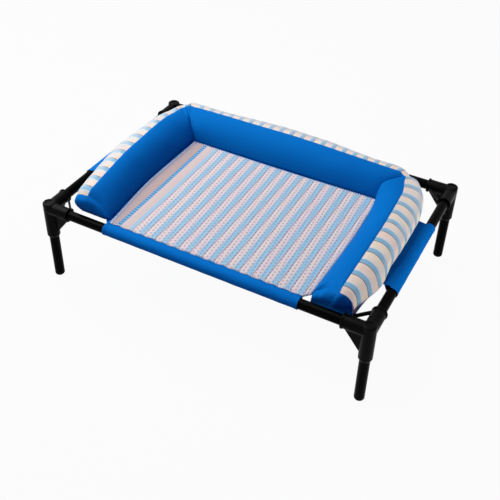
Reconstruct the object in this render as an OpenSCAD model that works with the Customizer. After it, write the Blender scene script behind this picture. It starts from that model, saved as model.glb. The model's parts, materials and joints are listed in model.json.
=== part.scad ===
// Raised dog cot: a tube frame in moulded corner fittings on four push-fit legs,
// a sling on rail sleeves, a striped mat and a stuffed bolster round three sides.
// Origin on the floor under the middle of the frame.
// +X runs along the length to the right, +Y to the back, +Z up. The front is open.

/* [Frame] */
// Distance between the post axes along the length
post_span_x = 800; // [700:5:1000]
// Distance between the post axes across the width
post_span_y = 536; // [480:4:700]
// Height of the rail axes above the floor
rail_height = 204; // [180:1:280]
// Outside diameter of the steel tubes
tube_od = 23.5; // [19:0.5:26]
// Wall of the steel tubes
tube_wall = 1.2; // [0.8:0.1:2]

/* [Corner fittings] */
// Wall of the moulded sockets
socket_wall = 3.4; // [2.6:0.1:4.5]
// Clearance all round between a tube and its socket
tube_fit = 0.3; // [0.2:0.05:0.4]
// Post axis to the mouth of a rail socket
socket_reach = 58; // [52:1:70]
// Rail axis down to the mouth of the leg socket
leg_socket_drop = 80; // [64:1:90]
// Rail axis up to the top of the post
post_rise = 17; // [15:0.5:22]
// Depth that a leg goes into its socket
leg_depth = 54; // [40:1:56]
// How far a collar stands out from its socket
collar_lip = 1.8; // [1:0.1:3]
// Width of a collar
collar_width = 5; // [3:0.5:8]
// Thickness of the gusset webs
web_thickness = 6; // [4:0.5:9]
// Leg socket mouth up to the toe of the gusset webs
web_toe = 16; // [8:1:24]
// Width of the tie bar across the inside of the corner
tie_width = 5; // [3:0.5:8]
// Height of the tie bar
tie_height = 7; // [4:0.5:10]
// Rounding round the top of the post
post_top_round = 4; // [1:0.5:5]
// Diameter of the recess in the top of the post
recess_d = 16; // [10:0.5:18]
// Depth of the recess in the top of the post
recess_depth = 1.4; // [0.5:0.1:2]

/* [Feet] */
// Height of a foot cap below the leg tube
foot_height = 12; // [8:0.5:20]
// Rounding round the bottom of a foot cap
foot_round = 7; // [4:0.5:7.5]
// Length of the plug inside the leg tube
foot_plug = 18; // [10:1:30]
// Clearance all round between the plug and the tube
plug_fit = 0.2; // [0.1:0.05:0.4]

/* [Sling and mat] */
// Thickness of the sling and sleeve cloth
cloth = 1.2; // [0.8:0.1:2]
// Ease between a rail and its sleeve
sleeve_ease = 0.3; // [0.2:0.1:1]
// Post axis to the end of the front and back sleeves
cut_x = 157; // [120:1:180]
// Post axis to the end of the side sleeves
cut_y = 147; // [110:1:170]
// Rail axis to the sewn edge of a sleeve's hem
hem_reach = 30; // [24:1:45]
// Thickness of the mat
mat_thickness = 4; // [2:0.5:8]
// Front rail axis to the front edge of the mat
mat_front = 10; // [8:1:40]
// Cut across the front corners of the mat
mat_corner = 14; // [6:1:24]

/* [Bolster] */
// Rail axis to the outer foot of the bolster
bolster_margin = 24; // [20:1:40]
// Width of the bolster over its foot
bolster_width = 115; // [90:1:130]
// Height of the bolster along the back
bolster_height = 67; // [50:1:100]
// Height that the arms fall to at the front, before their ends round off
arm_height = 54; // [36:1:80]
// Front rail axis to the tip of the arms
arm_gap = 23; // [22:1:60]
// Length over which an arm rounds off at its front end
end_round = 60; // [30:1:80]
// Size of an arm's end panel, as a share of its full section
end_share = 0.74; // [0.6:0.01:0.95]
// Bulge of the end panels
end_bulge = 10; // [4:1:16]
// Rounding of the outer back corners, as a share of the bolster width
corner_round = 1; // [0.4:0.05:1]
// How far the bolster is drawn in at the back corners, as a share of its width
corner_pull = 0.24; // [0:0.02:0.3]
// Roundness of the inner slope, from 1.2 nearly flat to 3 boxy
inner_roundness = 1.6; // [1.2:0.1:3]
// Roundness of the outer slope, from 1.2 nearly flat to 3 boxy
outer_roundness = 2.6; // [1.2:0.1:3]
// Gap between sewn or stuffed layers
ply_gap = 0.2; // [0.1:0.05:0.4]

/* [Hidden] */
$fn = 64;

black = [0.05, 0.05, 0.055];
blue = [0.03, 0.37, 0.75];
stripe = [0.86, 0.80, 0.74];
white_fibre = [0.93, 0.93, 0.91];

// Frame
half_x = post_span_x / 2;
half_y = post_span_y / 2;
tube_id = tube_od - 2 * tube_wall;
bore_d = tube_od + 2 * tube_fit;
socket_od = bore_d + 2 * socket_wall;
rail_stop = bore_d / 2 + socket_wall;
leg_top = rail_height - leg_socket_drop + leg_depth;
mouth_chamfer = socket_wall * 0.6;
collar_chamfer = collar_lip * 0.6;

// Sling and mat
sleeve_inner_r = tube_od / 2 + sleeve_ease;
sleeve_outer_r = sleeve_inner_r + cloth;
deck_z = rail_height + sleeve_outer_r;
edge_ease = 1;
sling_edge = sqrt(pow(sleeve_outer_r, 2) - pow(sleeve_outer_r - cloth, 2)) + edge_ease;

// Bolster feet, in plan, and the height at which the stuffed body starts
foot_x = half_x - bolster_margin - bolster_width;
foot_y = half_y - bolster_margin - bolster_width;
tip_y = -half_y + arm_gap;
cap_y = tip_y + end_bulge;
body_z = deck_z + cloth + ply_gap;

// Row places along an arm: 0 to 1 is the straight run, 1 to 2 turns half of the corner
arm_rows = [0, 0.012, 0.03, 0.06, 0.1, 0.16, 0.3, 0.5, 0.7, 0.86, 1, 1.25, 1.5, 1.75, 2];
// Row places along the back: corner, straight run, corner
back_rows = [0, 0.25, 0.5, 0.75, 1, 1.15, 1.32, 1.5, 1.68, 1.85, 2, 2.25, 2.5, 2.75, 3];
panel_columns = 7;
crown = 0.5;
seam = 0.001;
arm_draw_start = 0.3;
cap_columns = 12;
cap_rows = 4;

function blend(a, b, t) = a + (b - a) * t;
function steps(from, to, count) = [for (i = [0 : count]) blend(from, to, i / count)];

// Section of the bolster for c from 0 at the inner foot, over the crown, to 1 at the outer foot:
// across is the share of the width out from the inner foot, up the share of the height
function slope_power(c) = 2 / (c <= crown ? inner_roundness : outer_roundness);
function slope_angle(c) = c <= crown ? 90 * c / crown : 90 * (1 - c) / (1 - crown);
function lean(c) = pow(max(0, cos(slope_angle(c))), slope_power(c));
function across(c) = c <= crown ? crown * (1 - lean(c)) : crown + (1 - crown) * lean(c);
function up(c) = pow(max(0, sin(slope_angle(c))), slope_power(c));

// Plan of the bolster at a distance d out from the inner foot line
function turn_r(d) = corner_round * d * d / bolster_width;
function turn_point(d, angle) =
    let (r = turn_r(d))
    [foot_x + d - r + r * cos(angle), foot_y + d - r + r * sin(angle)];
function arm_plan(d, s) =
    s <= 1 ? [foot_x + d, blend(cap_y, foot_y + d - turn_r(d), s)]
           : turn_point(d, 45 * (s - 1));
function back_plan(d, s) =
    let (run = foot_x + d - turn_r(d), near = turn_point(d, 45 + 45 * s), far = turn_point(d, 180 - 45 * s))
    s <= 1 ? near
  : s <= 2 ? [run * (3 - 2 * s), foot_y + d]
           : [-far[0], far[1]];

// Rounding of an arm towards its front end
end_place = end_round / (foot_y - cap_y);
function end_scale(s) =
    s >= end_place ? 1
  : end_share + (1 - end_share) * sqrt(1 - pow(1 - s / end_place, 2));
function arm_rise(s) = blend(arm_height, bolster_height, min(s, 1));

// Drawing in of the width towards a back corner
function ease(t) = t * t * (3 - 2 * t);
function arm_draw(s) = 1 - corner_pull * ease(max(0, s - arm_draw_start) / (2 - arm_draw_start));
function back_draw(s) = 1 - corner_pull * (1 - ease(min(s, 3 - s) / 1.5));

// One point of the stuffed body, inset mm inside its outer face
function body_reach(c, scale, draw, inset) =
    let (middle = bolster_width / 2)
    draw * (middle + (across(c) - crown) * bolster_width * scale) - 2 * inset * (across(c) - crown);
function arm_point(s, c, inset) =
    let (k = end_scale(s), p = arm_plan(body_reach(c, k, arm_draw(s), inset), s))
    [p[0], p[1] - ply_gap, body_z + up(c) * (arm_rise(s) * k - inset)];
function back_point(s, c, inset) =
    let (p = back_plan(body_reach(c, 1, back_draw(s), inset), s))
    [p[0], p[1], body_z + up(c) * (bolster_height - inset)];

// One point of an end panel: c across the section, v from the foot up to the arch
function cap_point(c, v, inset) =
    let (edge = arm_point(0, c, inset), swell = (1 - v * v) * pow(sin(180 * c), 2))
    [edge[0], cap_y - 2 * ply_gap - (inset > 0 ? 0 : cloth) - (end_bulge - cloth - 2 * ply_gap) * swell,
     blend(body_z, edge[2], v)];

// Solid between two grids of points, each with rows of the same length
function join(lists) = [for (list = lists) for (item = list) item];
function quad(a, b, c, d) = [[a, b, c], [a, c, d]];
function sheet_faces(rows, columns, from, flip) = join([
    for (i = [0 : rows - 2]) for (j = [0 : columns - 2])
        let (a = from + i * columns + j, b = a + 1, c = b + columns, d = a + columns)
        flip ? quad(a, d, c, b) : quad(a, b, c, d)
]);
function rim(rows, columns) = concat(
    [for (j = [0 : columns - 1]) j],
    [for (i = [1 : rows - 1]) i * columns + columns - 1],
    [for (j = [columns - 2 : -1 : 0]) (rows - 1) * columns + j],
    [for (i = [rows - 2 : -1 : 1]) i * columns]
);
module cloth_panel(outer, inner) {
    rows = len(outer);
    columns = len(outer[0]);
    count = rows * columns;
    edge = rim(rows, columns);
    walls = join([
        for (i = [0 : len(edge) - 1])
            let (a = edge[i], b = edge[(i + 1) % len(edge)])
            quad(b, a, a + count, b + count)
    ]);
    polyhedron(
        join([join(outer), join(inner)]),
        join([sheet_faces(rows, columns, 0, false), sheet_faces(rows, columns, count, true), walls])
    );
}

// Solid skinned over closed rings of points, with a flat end at each end
module stuffed_body(rings) {
    rows = len(rings);
    columns = len(rings[0]);
    last = (rows - 1) * columns;
    skin = join([
        for (i = [0 : rows - 2]) for (j = [0 : columns - 1])
            let (a = i * columns + j, b = i * columns + (j + 1) % columns)
            quad(a, b, b + columns, a + columns)
    ]);
    near_end = [for (j = [1 : columns - 2]) [0, j + 1, j]];
    far_end = [for (j = [1 : columns - 2]) [last, last + j, last + j + 1]];
    polyhedron(join(rings), join([skin, near_end, far_end]));
}

module tube(length) {
    difference() {
        cylinder(d = tube_od, h = length, center = true);
        cylinder(d = tube_id, h = length + 2, center = true);
    }
}

module rail_x(y) {
    color(black) translate([0, y, rail_height]) rotate([0, 90, 0]) tube(post_span_x - 2 * rail_stop);
}

module rail_y(x) {
    color(black) translate([x, 0, rail_height]) rotate([90, 0, 0]) tube(post_span_y - 2 * rail_stop);
}

module front_rail() { rail_x(-half_y); }
module back_rail() { rail_x(half_y); }
module left_rail() { rail_y(-half_x); }
module right_rail() { rail_y(half_x); }

// Post of a corner fitting, with a rounded closed top and a chamfered mouth below
module post() {
    r = socket_od / 2;
    top_arc = [
        for (a = steps(0, 90, 6))
            [r - post_top_round * (1 - cos(a)), post_rise - post_top_round * (1 - sin(a))]
    ];
    rotate_extrude() polygon(concat(
        [[0, -leg_socket_drop], [r - mouth_chamfer, -leg_socket_drop],
         [r, -leg_socket_drop + 2 * mouth_chamfer]],
        top_arc,
        [[0, post_rise]]
    ));
}

// Rail socket along +X with a collar round its mouth
module rail_socket() {
    r = socket_od / 2;
    lip = r + collar_lip;
    rotate([0, 90, 0]) {
        cylinder(r = r, h = socket_reach);
        rotate_extrude() polygon([
            [0, socket_reach - collar_width], [lip - collar_chamfer, socket_reach - collar_width],
            [lip, socket_reach - collar_width + collar_chamfer], [lip, socket_reach - collar_chamfer],
            [lip - collar_chamfer, socket_reach], [0, socket_reach]
        ]);
    }
}

// Gusset web below the rail socket along +X
module web() {
    heel = bore_d / 2 + socket_wall / 2;
    toe_x = socket_reach - collar_width;
    rotate([90, 0, 0]) linear_extrude(web_thickness, center = true) polygon([
        [heel, -heel], [toe_x, -heel], [toe_x, -socket_od / 2],
        [socket_od / 2, -leg_socket_drop + web_toe], [heel, -leg_socket_drop + web_toe]
    ]);
}

// Tie bar between the collars of the two rail sockets
module tie() {
    near = socket_od / 2 - socket_wall / 2;
    far = socket_reach - tie_width * 0.8;
    across_bar = tie_width / sqrt(2);
    translate([0, 0, -tie_height / 2]) linear_extrude(tie_height) polygon([
        [far, near], [near, far], [near - across_bar, far - across_bar], [far - across_bar, near - across_bar]
    ]);
}

module rail_bore() {
    rotate([0, 90, 0]) translate([0, 0, rail_stop]) cylinder(d = bore_d, h = socket_reach);
}

module corner(side_x, side_y) {
    color(black) translate([side_x * half_x, side_y * half_y, rail_height])
    mirror([side_x > 0 ? 1 : 0, 0, 0]) mirror([0, side_y > 0 ? 1 : 0, 0]) difference() {
        union() {
            post();
            rail_socket();
            web();
            rotate([0, 0, 90]) {
                rail_socket();
                web();
            }
            tie();
        }
        rail_bore();
        rotate([0, 0, 90]) rail_bore();
        translate([0, 0, -leg_socket_drop - 1]) cylinder(d = bore_d, h = leg_depth + 1);
        translate([0, 0, post_rise - recess_depth]) cylinder(d = recess_d, h = recess_depth + 1);
    }
}

module corner_front_left() { corner(-1, -1); }
module corner_front_right() { corner(1, -1); }
module corner_back_left() { corner(-1, 1); }
module corner_back_right() { corner(1, 1); }

module leg(side_x, side_y) {
    length = leg_top - foot_height;
    color(black) translate([side_x * half_x, side_y * half_y, foot_height + length / 2]) tube(length);
}

module leg_front_left() { leg(-1, -1); }
module leg_front_right() { leg(1, -1); }
module leg_back_left() { leg(-1, 1); }
module leg_back_right() { leg(1, 1); }

// Foot cap: a rounded end of the tube's own diameter and a plug inside the tube
module foot(side_x, side_y) {
    r = tube_od / 2;
    plug_r = tube_id / 2 - plug_fit;
    bottom_arc = [
        for (a = steps(-90, 0, 8)) [r - foot_round * (1 - cos(a)), foot_round * (1 + sin(a))]
    ];
    color(black) translate([side_x * half_x, side_y * half_y, 0]) rotate_extrude() polygon(concat(
        [[0, 0]],
        bottom_arc,
        [[r, foot_height], [plug_r, foot_height], [plug_r, foot_height + foot_plug],
         [0, foot_height + foot_plug]]
    ));
}

module foot_front_left() { foot(-1, -1); }
module foot_front_right() { foot(1, -1); }
module foot_back_left() { foot(-1, 1); }
module foot_back_right() { foot(1, 1); }

// Sleeve round a rail along X, with its hem running inwards under the sling
module sleeve(length) {
    difference() {
        union() {
            rotate([0, 90, 0]) cylinder(r = sleeve_outer_r, h = length, center = true);
            translate([-length / 2, 0, sleeve_outer_r - 2 * cloth]) cube([length, hem_reach, cloth]);
        }
        rotate([0, 90, 0]) cylinder(r = sleeve_inner_r, h = length + 2, center = true);
    }
}

module front_sleeve() {
    color(blue) translate([0, -half_y, rail_height]) sleeve(post_span_x - 2 * cut_x);
}

module back_sleeve() {
    color(blue) translate([0, half_y, rail_height]) rotate([0, 0, 180]) sleeve(post_span_x - 2 * cut_x);
}

module left_sleeve() {
    color(blue) translate([-half_x, 0, rail_height]) rotate([0, 0, -90]) sleeve(post_span_y - 2 * cut_y);
}

module right_sleeve() {
    color(blue) translate([half_x, 0, rail_height]) rotate([0, 0, 90]) sleeve(post_span_y - 2 * cut_y);
}

// Sling: one flat panel with its corners cut off between the sleeves
module sling() {
    long_x = half_x - cut_x;
    long_y = half_y - cut_y;
    edge_x = half_x - sling_edge;
    edge_y = half_y - sling_edge;
    color(blue) translate([0, 0, deck_z - cloth]) linear_extrude(cloth) polygon([
        [-long_x, -edge_y], [long_x, -edge_y], [edge_x, -long_y], [edge_x, long_y],
        [long_x, edge_y], [-long_x, edge_y], [-edge_x, long_y], [-edge_x, -long_y]
    ]);
}

module sleeping_mat() {
    side = foot_x - ply_gap;
    front = -half_y + mat_front;
    back = foot_y - ply_gap;
    color(stripe) translate([0, 0, deck_z]) linear_extrude(mat_thickness) polygon([
        [-side + mat_corner, front], [side - mat_corner, front], [side, front + mat_corner],
        [side, back], [-side, back], [-side, front + mat_corner]
    ]);
}

// Base cloth of the bolster, a flat U lying on the sling
module bolster_base() {
    outer = bolster_width;
    inset = bolster_width * (1 - end_share) / 2;
    right_side = concat(
        [[foot_x + inset, cap_y], [foot_x + outer - inset, cap_y], [foot_x + outer, cap_y + end_round]],
        [for (s = steps(arm_draw_start, 2, 10)) arm_plan(outer * arm_draw(s), s)],
        [for (s = steps(0.25, 1.25, 4)) back_plan(outer * back_draw(s), s)]
    );
    left_side = [for (i = [len(right_side) - 1 : -1 : 0]) [-right_side[i][0], right_side[i][1]]];
    inner_line = [
        [-foot_x, cap_y + end_round], [-foot_x, foot_y], [foot_x, foot_y], [foot_x, cap_y + end_round]
    ];
    color(blue) translate([0, 0, deck_z]) linear_extrude(cloth)
        polygon(concat(right_side, left_side, inner_line));
}

module arm_panel(from, to) {
    columns = steps(from, to, panel_columns);
    outer = [for (s = arm_rows) [for (c = columns) arm_point(s, c, 0)]];
    inner = [for (s = arm_rows) [for (c = columns) arm_point(s, c, cloth)]];
    cloth_panel(outer, inner);
}

module back_panel(from, to) {
    columns = steps(from, to, panel_columns);
    outer = [for (s = back_rows) [for (c = columns) back_point(s, c, 0)]];
    inner = [for (s = back_rows) [for (c = columns) back_point(s, c, cloth)]];
    cloth_panel(outer, inner);
}

module arm_filling() {
    columns = steps(0, 1, 2 * panel_columns);
    stuffed_body([for (s = arm_rows) [for (c = columns) arm_point(s, c, cloth + ply_gap)]]);
}

module end_panel() {
    columns = [for (j = [1 : cap_columns - 1]) j / cap_columns];
    heights = steps(0, 1, cap_rows);
    outer = [for (v = heights) [for (c = columns) cap_point(c, v, 0)]];
    inner = [for (v = heights) [for (c = columns) cap_point(c, v, cloth)]];
    cloth_panel(outer, inner);
}

module inner_panel_right() { color(blue) arm_panel(0, crown - seam); }
module inner_panel_left() { color(blue) mirror([1, 0, 0]) arm_panel(0, crown - seam); }
module inner_panel_back() { color(blue) back_panel(0, crown - seam); }
module outer_panel_right() { color(stripe) arm_panel(crown + seam, 1); }
module outer_panel_left() { color(stripe) mirror([1, 0, 0]) arm_panel(crown + seam, 1); }
module outer_panel_back() { color(stripe) back_panel(crown + seam, 1); }
module end_panel_right() { color(blue) end_panel(); }
module end_panel_left() { color(blue) mirror([1, 0, 0]) end_panel(); }
module filling_right() { color(white_fibre) arm_filling(); }
module filling_left() { color(white_fibre) mirror([1, 0, 0]) arm_filling(); }
module filling_back() {
    columns = steps(0, 1, 2 * panel_columns);
    color(white_fibre)
        stuffed_body([for (s = back_rows) [for (c = columns) back_point(s, c, cloth + ply_gap)]]);
}

front_rail();
back_rail();
left_rail();
right_rail();
corner_front_left();
corner_front_right();
corner_back_left();
corner_back_right();
leg_front_left();
leg_front_right();
leg_back_left();
leg_back_right();
foot_front_left();
foot_front_right();
foot_back_left();
foot_back_right();
front_sleeve();
back_sleeve();
left_sleeve();
right_sleeve();
sling();
sleeping_mat();
bolster_base();
inner_panel_left();
inner_panel_back();
inner_panel_right();
outer_panel_left();
outer_panel_back();
outer_panel_right();
end_panel_left();
end_panel_right();
filling_left();
filling_back();
filling_right();
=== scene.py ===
"""Looks of the raised dog cot: frame finishes, sling, mat, stuffed bolster, stitching and stage."""
import json
import math

import bpy
import numpy as np
from bpy.props import FloatProperty, FloatVectorProperty, IntProperty, PointerProperty
from mathutils import Matrix, Vector

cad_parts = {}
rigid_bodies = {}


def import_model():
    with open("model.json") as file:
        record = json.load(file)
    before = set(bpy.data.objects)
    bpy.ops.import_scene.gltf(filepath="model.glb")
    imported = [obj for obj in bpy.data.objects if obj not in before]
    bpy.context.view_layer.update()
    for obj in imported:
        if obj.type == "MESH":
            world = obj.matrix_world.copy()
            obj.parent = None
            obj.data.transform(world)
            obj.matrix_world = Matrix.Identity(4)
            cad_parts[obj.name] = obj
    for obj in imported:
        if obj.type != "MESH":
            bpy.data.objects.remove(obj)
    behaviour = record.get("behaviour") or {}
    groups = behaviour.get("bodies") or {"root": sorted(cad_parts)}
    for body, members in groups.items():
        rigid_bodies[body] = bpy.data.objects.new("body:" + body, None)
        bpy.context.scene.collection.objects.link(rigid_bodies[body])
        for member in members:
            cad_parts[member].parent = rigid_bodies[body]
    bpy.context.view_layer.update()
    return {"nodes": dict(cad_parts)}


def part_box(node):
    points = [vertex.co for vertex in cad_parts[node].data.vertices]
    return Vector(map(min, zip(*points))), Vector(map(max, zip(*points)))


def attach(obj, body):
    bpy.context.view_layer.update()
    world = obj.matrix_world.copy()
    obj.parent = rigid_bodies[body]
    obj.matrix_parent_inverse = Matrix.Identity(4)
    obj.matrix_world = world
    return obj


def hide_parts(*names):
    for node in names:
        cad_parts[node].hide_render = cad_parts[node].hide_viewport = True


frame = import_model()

bl_info = {
    "name": "Raised dog cot",
    "version": (1, 0, 0),
    "blender": (4, 5, 0),
    "location": "View3D > Sidebar > Cot",
    "description": "Builds the soft pieces and finishes of a raised dog cot round its packed frame",
    "category": "Object",
}


def middle(node):
    """Middle of a CAD node's box."""
    low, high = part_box(node)
    return (low + high) / 2


def extent(node):
    """Size of a CAD node's box."""
    low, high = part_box(node)
    return high - low


RAIL_X = middle("right_rail").x
RAIL_Y = middle("back_rail").y
RAIL_Z = middle("front_rail").z
TUBE_R = extent("front_rail").z / 2
DECK_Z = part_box("sling")[1].z
CLOTH = extent("sling").z
SLING_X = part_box("sling")[1].x
SLING_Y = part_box("sling")[1].y
SLEEVE_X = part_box("front_sleeve")[1].x
HEM_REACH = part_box("front_sleeve")[1].y + RAIL_Y
MAT_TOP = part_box("sleeping_mat")[1].z
BODY_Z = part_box("inner_panel_back")[0].z

MAIN_BODY = "frame"
CORNERS = ("front_left", "front_right", "back_left", "back_right")
RAILS = ("front_rail", "back_rail", "left_rail", "right_rail")
SIDES = ("left", "back", "right")

# Where each sleeve starts and ends along its rail, from the middle of the cot.
FRONT_ENDS = (-0.241, 0.246)
BACK_ENDS = (-SLEEVE_X, SLEEVE_X)
LEFT_ENDS = (-0.112, 0.104)
RIGHT_ENDS = (-0.144, 0.104)
# Name, ends, distance of the rail from the middle, and direction from the middle to the rail.
SLEEVES = (
    ("front", FRONT_ENDS, RAIL_Y, (0, -1)),
    ("back", BACK_ENDS, RAIL_Y, (0, 1)),
    ("left", LEFT_ENDS, RAIL_X, (-1, 0)),
    ("right", RIGHT_ENDS, RAIL_X, (1, 0)),
)
# Cut of the sling beside a side sleeve: its depth, the length of its step and how early it starts.
NOTCH = 0.036
NOTCH_STEP = 0.006
NOTCH_LEAD = 0.006
# How much shorter each end of a side sleeve gets per metre towards the hem.
SIDE_SLANT = 0.4
HEM_WIDTH = 0.009

# Share of the columns across the bolster at which its crown lies.
CROWN = 0.5
# Marks on the crown and how many stripe repeats lie between them and the right tip.
STRIPE_MARKS = {"left": (-0.233, 0.111), "back": (-0.263, 0.286), "right": (0.131, -0.2245)}
STRIPE_COUNTS = (43.0, 34.0, 31.0, 12.0, 10.0, 0.0)
STRIPES_PER_METRE = 27.5
STRIPE_OFFSET = 0.23

# Start, end and softness of the bands in one repeat of the stripes.
CLOTH_PALE = (0.37, 0.47, 0.03)
CLOTH_BLUE = (0.06, 0.37, 0.018)
CLOTH_LINE = (0.012, 0.06, 0.012)
MAT_BLUE = (0.56, 0.985, 0.03)
MAT_LINE = (0.005, 0.055, 0.018)
# Tones that darken the mat's holes and the inner and outer half of its edge strip. The outer half's darker
# tone is partly the strip's own colour and partly painted shade cast by the bolster's foot beside it.
HOLE_SHADE = (0.62, 0.55, 0.53)
STRIP_TONE_AND_SHADE = ((0.88, 0.80, 0.77), (0.68, 0.57, 0.53))
# Usual range of a noise texture.
NOISE_LOW = 0.3
NOISE_HIGH = 0.7
WEAVE_DEPTH = 0.00012
HOLE_DEPTH = 0.0005
SLUB_SHARE = 0.6
WHITE = (1.0, 1.0, 1.0)
# Edges that turn more than this are shaded as cut edges.
SHARP_ANGLE = math.radians(55)


def length(name, description, default):
    """A length property in metres."""
    return FloatProperty(name=name, description=description, default=default, unit="LENGTH", precision=4)


def lengths(name, description, *default):
    """A short list of lengths in metres."""
    return FloatVectorProperty(
        name=name, description=description, size=len(default), default=default, unit="LENGTH", precision=4)


def share(name, description, default):
    """A plain number."""
    return FloatProperty(name=name, description=description, default=default, precision=3)


def shares(name, description, *default):
    """A short list of plain numbers."""
    return FloatVectorProperty(
        name=name, description=description, size=len(default), default=default, precision=3)


def angle(name, description, degrees):
    """An angle property, given in degrees."""
    return FloatProperty(name=name, description=description, default=math.radians(degrees), subtype="ANGLE")


def colour(name, description, *default):
    """A linear colour property."""
    return FloatVectorProperty(
        name=name, description=description, size=3, default=default, subtype="COLOR", min=0, max=1)


class CotColours(bpy.types.PropertyGroup):
    """Colours of the cot's cloths, threads and frame."""
    blue: colour("Blue cloth", "Sling, sleeves and inner panels", 0.0008, 0.184, 0.545)
    blue_deep: colour("Blue cloth, deep", "Darker threads of the blue cloth", 0.0006, 0.127, 0.455)
    stripe_blue: colour("Blue stripe", "Sky blue band of the striped cloth", 0.265, 0.53, 0.66)
    stripe_line: colour("Thin stripe", "Thin dark line of the striped cloth", 0.16, 0.07, 0.085)
    stripe_pink: colour("Pink stripe", "Pinker of the two wide bands", 0.96, 0.755, 0.58)
    stripe_cream: colour("Cream stripe", "Creamier of the two wide bands", 0.96, 0.825, 0.60)
    stripe_pale: colour("Pale stripe", "Pale strip beside the blue band", 0.77, 0.80, 0.77)
    # Grey blue that stands for painted sheen and shade on upward faces seen at a grazing angle.
    stripe_painted_sheen: colour("Faded stripe", "What the stripes pale to where they turn away", 0.55, 0.61, 0.63)
    mesh_blue: colour("Mat blue", "Sky blue band of the mat", 0.305, 0.516, 0.635)
    mesh_pink: colour("Mat pink", "Pinker band of the mat", 0.713, 0.605, 0.59)
    mesh_cream: colour("Mat cream", "Creamier band of the mat", 0.713, 0.63, 0.588)
    mesh_dash: colour("Mat dashes", "Dashes of the mat's left edge strip", 0.02, 0.19, 0.42)
    mesh_hem: colour("Mat hem", "Overlocked edge of the mat", 0.22, 0.33, 0.48)
    tube_black: colour("Coated tube", "Black coating of the steel tubes", 0.0009, 0.0009, 0.0010)
    fitting_black: colour("Moulded fitting", "Black of the corner fittings", 0.0010, 0.0011, 0.0012)
    foot_black: colour("Foot cap", "Black of the foot caps", 0.0012, 0.0013, 0.0014)
    blue_thread: colour("Blue thread", "Thread of the hems", 0.004, 0.14, 0.50)
    pale_thread: colour("Pale thread", "Overlock thread round the mat", 0.86, 0.90, 0.93)


class SlingSizes(bpy.types.PropertyGroup):
    """Sizes of the sling and its sleeves."""
    sag: length("Sag", "How far the sling hangs in its middle", 0.0025)
    ripple: length("Ripple", "Depth of the pull lines at the cut corners", 0.0007)
    ease: length("Sleeve ease", "Gap between a rail and its sleeve", 0.0003)
    pucker: length("Sleeve pucker", "Depth of the sleeves' soft waves", 0.0004)
    flare: length("Sleeve flare", "How far the sleeves open at their ends", 0.0005)
    draw: length("Sleeve draw", "How far the end stitches draw the sleeves in", 0.0003)


class MatSizes(bpy.types.PropertyGroup):
    """Sizes of the striped mesh mat."""
    thickness: length("Thickness", "Thickness of the mat", 0.0032)
    front_gap: length("Front gap", "Front rail axis to the front edge of the mat", 0.0095)
    corner_cut: lengths("Corner cuts", "Cuts across the left and right front corners", 0.003, 0.012)
    hem: length("Hem", "Width of the overlocked edge", 0.0075)
    clear: lengths("Clearance", "Gap to the bolster's left, back and right feet", 0.0050, 0.0045, 0.001)
    edge_roll: length("Edge roll", "How far the sewn edge is pressed down", 0.0022)
    edge_width: length("Edge width", "Width of the pressed edge", 0.007)
    scallop: length("Scallop", "Depth of the waves along the front edge", 0.0006)
    lay: length("Lay", "How far the middle lies below the top of the CAD mat", 0.0006)
    rib: length("Rib", "Height of the rib along each stripe", 0.00035)
    unevenness: length("Unevenness", "Height of the soft waves in the mat", 0.0005)
    repeat: length("Stripe repeat", "Width of one repeat of the stripes", 0.0301)
    first_line: length("First line", "Place of one thin line across the mat", 0.0079)
    dot_across: length("Dot spacing across", "Distance between columns of mesh holes", 0.0088)
    dot_along: length("Dot spacing along", "Distance between holes in a column", 0.0109)
    dot_size: length("Dot size", "Radius of a mesh hole", 0.0023)
    dot_lean: share("Dot lean", "Sideways shift of a column of holes along the mat", 0.095)
    plain_edge: length("Plain edge", "Middle of the cot to the left edge, which has no holes", 0.1720)
    strip: lengths("Edge strip", "Middle of the cot to where the left edge strip sets in", 0.1835, 0.1820)
    selvedge: length("Selvedge", "Middle of the cot to the dashed blue column on the left", 0.2100)
    selvedge_width: length("Selvedge width", "Width of the dashed blue column", 0.0100)
    edge_soft: length("Edge softness", "Half the width over which the edge strips blend", 0.004)


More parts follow.
